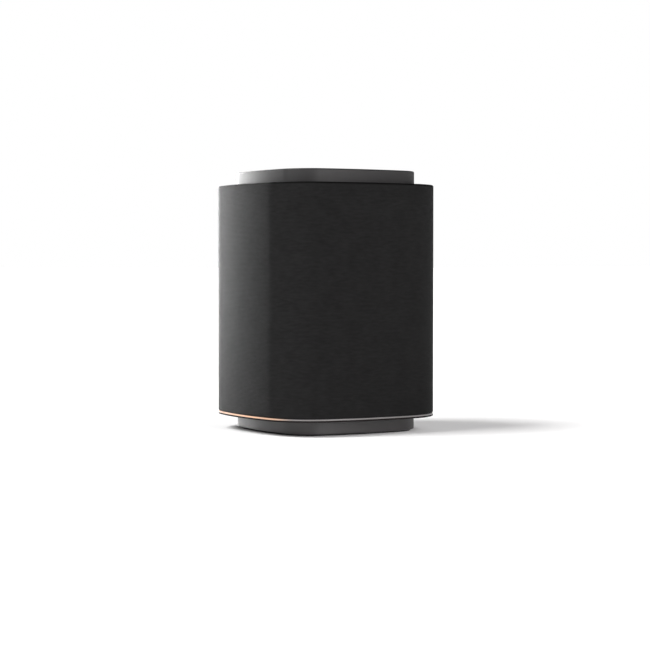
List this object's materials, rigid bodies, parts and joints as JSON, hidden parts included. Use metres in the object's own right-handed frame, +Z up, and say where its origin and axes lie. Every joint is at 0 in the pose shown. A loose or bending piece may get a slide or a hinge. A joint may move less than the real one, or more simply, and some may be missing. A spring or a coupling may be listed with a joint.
{
  "type": "smart speaker",
  "caption": "Fabric-covered rounded-square smart speaker with push keys in an inset cap, a light line round its foot and loudspeakers in a sealed cabinet.",
  "frame": {"origin": "centre of the underside of the rubber foot, on the surface the speaker stands on", "axes": "+Z up; -Y is the front, where the woofer faces and the light line is lit; +Y is the rear with the DC inlet; +X is the right as seen from the front"},
  "size_m": [0.12, 0.12, 0.1605],
  "materials": {
    "foot_rubber": "soft matte rubber",
    "housing_plastic": "fine moulded texture, satin",
    "key_plastic": "fine moulded texture, satin",
    "steel_screws": "black-zinc plated",
    "jack_plastic": "moulded",
    "pin_brass": "plated pin",
    "lead_jacket": "flexible jacket",
    "tray_plastic": "satin moulded edge",
    "light_guide": "frosted translucent, lit at the front",
    "circuit_board": "solder mask",
    "led_package": "clear package over a yellow phosphor",
    "shield_metal": "tin-plated can",
    "spreader_metal": "extruded, satin",
    "capacitor_can": "sleeved can",
    "ferrite": "pressed ferrite",
    "connector_plastic": "nylon",
    "cabinet_plastic": "moulded, glass filled",
    "gasket_foam": "closed-cell foam",
    "wadding": "loose polyester",
    "basket_metal": "powder coat",
    "motor_steel": "zinc plated",
    "magnet_ferrite": "ground ferrite",
    "spider_cloth": "impregnated cotton",
    "surround_rubber": "smooth rubber",
    "cone_paper": "coated pulp",
    "coil_copper": "enamelled wire on a former",
    "dome_silk": "coated silk",
    "radiator_plate": "anodised dark",
    "shell_plastic": "moulded grille",
    "knit_fabric": "fine black knit",
    "ribbon": "polyimide ribbon",
    "indicator_lens": "diffusing lens",
    "switch_plastic": "moulded switch body",
    "microphone_can": "plated can"
  },
  "bodies": {
    "speaker_body": {"rubber_foot": "foot_rubber", "base_plinth": "housing_plastic", "plinth_screws": "steel_screws", "dc_jack": "jack_plastic", "dc_jack_pin": "pin_brass", "power_lead": "lead_jacket", "bottom_tray": "tray_plastic", "tray_screws": "steel_screws", "light_guide": "light_guide", "led_board": "circuit_board", "status_leds": "led_package", "main_board": "circuit_board", "board_screws": "steel_screws", "processor_shield": "shield_metal", "heat_spreader": "spreader_metal", "bulk_capacitors": "capacitor_can", "amplifier_inductors": "ferrite", "board_connectors": "connector_plastic", "ribbon_cable": "ribbon", "cabinet_shell": "cabinet_plastic", "cabinet_gasket": "gasket_foam", "cabinet_lid": "cabinet_plastic", "lid_screws": "steel_screws", "acoustic_wadding": "wadding", "woofer_gasket": "gasket_foam", "woofer_basket": "basket_metal", "woofer_top_plate": "motor_steel", "woofer_magnet": "magnet_ferrite", "woofer_yoke": "motor_steel", "woofer_spider": "spider_cloth", "woofer_surround": "surround_rubber", "driver_screws": "steel_screws", "tweeter_faceplate": "basket_metal", "tweeter_motor": "motor_steel", "left_radiator_surround": "surround_rubber", "right_radiator_surround": "surround_rubber", "grille_shell": "shell_plastic", "shell_screws": "steel_screws", "fabric_sleeve": "knit_fabric", "top_cap": "housing_plastic", "control_board": "circuit_board", "control_board_screws": "steel_screws", "switch_housings": "switch_plastic", "microphones": "microphone_can", "mic_gaskets": "gasket_foam", "mute_indicator": "indicator_lens"},
    "volume_up_key": {"volume_up_button": "key_plastic", "volume_up_plunger": "switch_plastic"},
    "volume_down_key": {"volume_down_button": "key_plastic", "volume_down_plunger": "switch_plastic"},
    "mic_mute_key": {"mic_mute_button": "key_plastic", "mic_mute_plunger": "switch_plastic"},
    "action_key": {"action_button": "key_plastic", "action_plunger": "switch_plastic"},
    "woofer_moving": {"woofer_cone": "cone_paper", "woofer_dust_cap": "cone_paper", "woofer_voice_coil": "coil_copper"},
    "tweeter_moving": {"tweeter_dome": "dome_silk"},
    "left_radiator": {"left_radiator_diaphragm": "radiator_plate"},
    "right_radiator": {"right_radiator_diaphragm": "radiator_plate"}
  },
  "joints": [
    {"name": "volume_up_press", "type": "slide", "parent": "speaker_body", "child": "volume_up_key", "axis": [0, 0, -1], "range_m": [0, 0.0005], "stiffness_N_per_m": 1500},
    {"name": "volume_down_press", "type": "slide", "parent": "speaker_body", "child": "volume_down_key", "axis": [0, 0, -1], "range_m": [0, 0.0005], "stiffness_N_per_m": 1500},
    {"name": "mic_mute_press", "type": "slide", "parent": "speaker_body", "child": "mic_mute_key", "axis": [0, 0, -1], "range_m": [0, 0.0005], "stiffness_N_per_m": 1500},
    {"name": "action_press", "type": "slide", "parent": "speaker_body", "child": "action_key", "axis": [0, 0, -1], "range_m": [0, 0.0005], "stiffness_N_per_m": 1500},
    {"name": "woofer_stroke", "type": "slide", "parent": "speaker_body", "child": "woofer_moving", "axis": [0, -1, 0], "range_m": [-0.003, 0.003], "stiffness_N_per_m": 1500, "deforming": ["woofer_surround", "woofer_spider"]},
    {"name": "tweeter_stroke", "type": "slide", "parent": "speaker_body", "child": "tweeter_moving", "axis": [0, -1, 0], "range_m": [-0.0003, 0.0003], "stiffness_N_per_m": 2000},
    {"name": "left_radiator_stroke", "type": "slide", "parent": "speaker_body", "child": "left_radiator", "axis": [-1, 0, 0], "range_m": [-0.003, 0.003], "stiffness_N_per_m": 1000, "deforming": ["left_radiator_surround"]},
    {"name": "right_radiator_stroke", "type": "slide", "parent": "speaker_body", "child": "right_radiator", "axis": [1, 0, 0], "range_m": [-0.003, 0.003], "stiffness_N_per_m": 1000, "deforming": ["right_radiator_surround"]}
  ]
}
